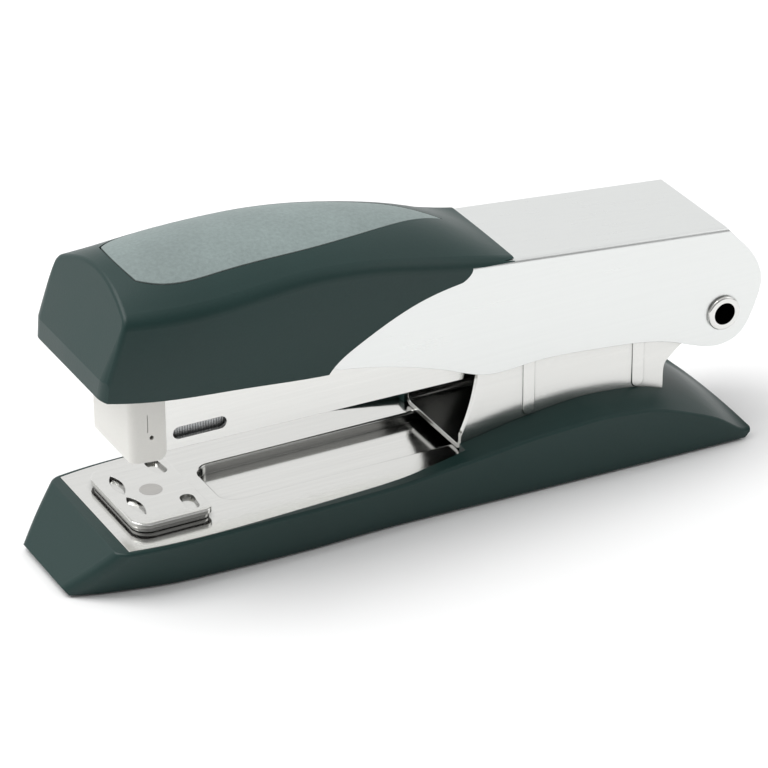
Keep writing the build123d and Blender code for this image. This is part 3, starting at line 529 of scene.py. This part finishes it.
def squashed_spring(node_name):
    """Copy of a spring, smooth shaded, that stands for its CAD node."""
    bm = merged_copy(node_name)
    for face in bm.faces:
        face.smooth = True
    piece = new_piece(node_name + "_pressed", bm, "spring_steel", node_name)
    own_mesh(piece)


class STAPLER_OT_cap(bpy.types.Operator):
    """Finish the moulded cap and its grip"""

    bl_idname = "stapler.cap"
    bl_label = "Cap and grip"

    def execute(self, context):
        dress("cap_shell", "cap_and_base_plastic")
        sizes = context.scene.stapler_sizes
        softened_piece("cap_grip", "grip_insert", sizes.grip_edge, sizes.edge_segments)
        return {"FINISHED"}


class STAPLER_OT_base(bpy.types.Operator):
    """Finish the moulded base and its feet"""

    bl_idname = "stapler.base"
    bl_label = "Base and feet"

    def execute(self, context):
        dress("base_shell", "cap_and_base_plastic")
        dress("rubber_feet", "rubber")
        return {"FINISHED"}


class STAPLER_OT_base_plate(bpy.types.Operator):
    """Round the edges of the base plate and plate it"""

    bl_idname = "stapler.base_plate"
    bl_label = "Base plate"

    def execute(self, context):
        sheet_piece(context, "base_plate", "nickelled_sheet")
        return {"FINISHED"}


class STAPLER_OT_bracket(bpy.types.Operator):
    """Finish the rear bracket and the rivets that hold it"""

    bl_idname = "stapler.bracket"
    bl_label = "Rear bracket"

    def execute(self, context):
        # the bracket's material paints shade inside it and under the arm
        sheet_piece(context, "bracket", "nickelled_bracket_painted_shade")
        dress("bracket_rivets", "steel")
        return {"FINISHED"}


class STAPLER_OT_pivot(bpy.types.Operator):
    """Finish the pivot tube, its spacers and the leaf that lifts the arm"""

    bl_idname = "stapler.pivot"
    bl_label = "Pivot"

    def execute(self, context):
        dress("pivot_tube", "nickelled_sheet")
        dress("pivot_spacers", "steel")
        sheet_piece(context, "return_leaf", "spring_steel")
        return {"FINISHED"}


class STAPLER_OT_anvil(bpy.types.Operator):
    """Finish the turning anvil with its post and button"""

    bl_idname = "stapler.anvil"
    bl_label = "Anvil"

    def execute(self, context):
        for node_name in ("anvil_plate", "anvil_backing"):
            sheet_piece(context, node_name, "nickelled_sheet")
        for node_name in ("anvil_post", "anvil_button"):
            dress(node_name, "steel")
        return {"FINISHED"}


class STAPLER_OT_magazine(bpy.types.Operator):
    """Finish the magazine, its rail, its pusher and the rod that guides it"""

    bl_idname = "stapler.magazine"
    bl_label = "Magazine"

    def execute(self, context):
        sheet_piece(context, "magazine_channel", "nickelled_sheet")
        for node_name in ("staple_rail", "rear_stop", "pusher"):
            sheet_piece(context, node_name, "steel")
        for node_name in ("guide_rod", "rod_anchor"):
            dress(node_name, "steel")
        return {"FINISHED"}


class STAPLER_OT_nose(bpy.types.Operator):
    """Round the edges of the nose cover"""

    bl_idname = "stapler.nose"
    bl_label = "Nose cover"

    def execute(self, context):
        sizes = context.scene.stapler_sizes
        softened_piece("nose_cover", "cream_nose", sizes.moulded_edge, sizes.edge_segments)
        return {"FINISHED"}


class STAPLER_OT_arm(bpy.types.Operator):
    """Finish the pressed arm and the blade riveted under it"""

    bl_idname = "stapler.arm"
    bl_label = "Arm and blade"

    def execute(self, context):
        sheet_piece(context, "arm_shell", "satin_arm")
        sheet_piece(context, "driver_blade", "steel")
        dress("blade_rivets", "steel")
        return {"FINISHED"}


class STAPLER_OT_springs(bpy.types.Operator):
    """Make smooth copies of the leaf and the two coil springs"""

    bl_idname = "stapler.springs"
    bl_label = "Springs"

    def execute(self, context):
        squashed_spring("magazine_spring")
        squashed_spring("anvil_spring")
        squashed_spring("pusher_spring")
        return {"FINISHED"}


class STAPLER_OT_staples(bpy.types.Operator):
    """Fill the magazine with separate staples"""

    bl_idname = "stapler.staples"
    bl_label = "Staples"

    def execute(self, context):
        wire = context.scene.stapler_sizes.staple_wire
        low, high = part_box("staple_strip")
        count = int(round((high.x - low.x) / wire))
        bm = bmesh.new()
        for number in range(count):
            self.add_staple(bm, low, high, wire, low.x + number * wire)
        for face in bm.faces:
            face.smooth = True
        new_piece("staples", bm, "staple_wire", "staple_strip")
        return {"FINISHED"}

    def add_staple(self, bm, low, high, wire, front):
        """One staple: a bar across the rail with its two legs drawn down, and its wire rounded."""
        gap = wire * STAPLE_GAP
        width = high.y - low.y
        place = Matrix.Translation((front + wire / 2, 0, high.z - wire / 2))
        size = Matrix.Diagonal((wire - gap, width, wire, 1.0))
        made = bmesh.ops.create_cube(bm, size=1.0, matrix=place @ size)
        bar = made["verts"]
        for side in (-1, 1):
            plane = side * (width / 2 - wire)
            around = {e for v in bar for e in v.link_edges} | {f for v in bar for f in v.link_faces}
            cut = bmesh.ops.bisect_plane(bm, geom=list(set(bar) | around), plane_co=(0, plane, 0),
                                         plane_no=(0, 1, 0))
            bar = list({*bar, *(v for v in cut["geom_cut"] if isinstance(v, bmesh.types.BMVert))})
        feet = [face for face in {f for v in bar for f in v.link_faces}
                if face.normal.z < -0.9 and abs(face.calc_center_median().y) > width / 2 - wire]
        drawn = bmesh.ops.extrude_discrete_faces(bm, faces=feet)
        tips = {v for face in drawn["faces"] for v in face.verts}
        bmesh.ops.translate(bm, verts=list(tips), vec=(0, 0, low.z - (high.z - wire)))
        bar = list({*bar, *tips})
        edges = [edge for edge in {e for v in bar for e in v.link_edges}
                 if edge.calc_face_angle(0.0) > radians(60)]
        bmesh.ops.bevel(bm, geom=edges, offset=wire * STAPLE_ROUNDING, offset_type="OFFSET", affect="EDGES",
                        segments=2, profile=0.5, material=-1, clamp_overlap=True)


OPERATORS = (
    STAPLER_OT_stage,
    STAPLER_OT_base,
    STAPLER_OT_base_plate,
    STAPLER_OT_bracket,
    STAPLER_OT_pivot,
    STAPLER_OT_anvil,
    STAPLER_OT_magazine,
    STAPLER_OT_nose,
    STAPLER_OT_staples,
    STAPLER_OT_springs,
    STAPLER_OT_arm,
    STAPLER_OT_cap,
)


class STAPLER_PT_panel(bpy.types.Panel):
    """Lists the steps that finish the stapler"""

    bl_idname = "STAPLER_PT_panel"
    bl_label = "Desk Stapler"
    bl_space_type = "VIEW_3D"
    bl_region_type = "UI"
    bl_category = "Stapler"

    def draw(self, context):
        for operator in OPERATORS:
            self.layout.operator(operator.bl_idname)
        for settings in (context.scene.stapler_finish, context.scene.stapler_sizes, context.scene.stapler_view):
            box = self.layout.box()
            for name in settings.__annotations__:
                box.prop(settings, name)


CLASSES = (StaplerFinish, StaplerSizes, StaplerView, *OPERATORS, STAPLER_PT_panel)


def register():
    for cls in CLASSES:
        bpy.utils.register_class(cls)
    bpy.types.Scene.stapler_finish = PointerProperty(type=StaplerFinish)
    bpy.types.Scene.stapler_sizes = PointerProperty(type=StaplerSizes)
    bpy.types.Scene.stapler_view = PointerProperty(type=StaplerView)


def unregister():
    del bpy.types.Scene.stapler_view
    del bpy.types.Scene.stapler_sizes
    del bpy.types.Scene.stapler_finish
    for cls in reversed(CLASSES):
        bpy.utils.unregister_class(cls)


def main():
    register()
    bpy.ops.stapler.stage()
    bpy.ops.stapler.base()
    bpy.ops.stapler.base_plate()
    bpy.ops.stapler.bracket()
    bpy.ops.stapler.pivot()
    bpy.ops.stapler.anvil()
    bpy.ops.stapler.magazine()
    bpy.ops.stapler.nose()
    bpy.ops.stapler.staples()
    bpy.ops.stapler.springs()
    bpy.ops.stapler.arm()
    bpy.ops.stapler.cap()


if __name__ == "__main__":
    main()
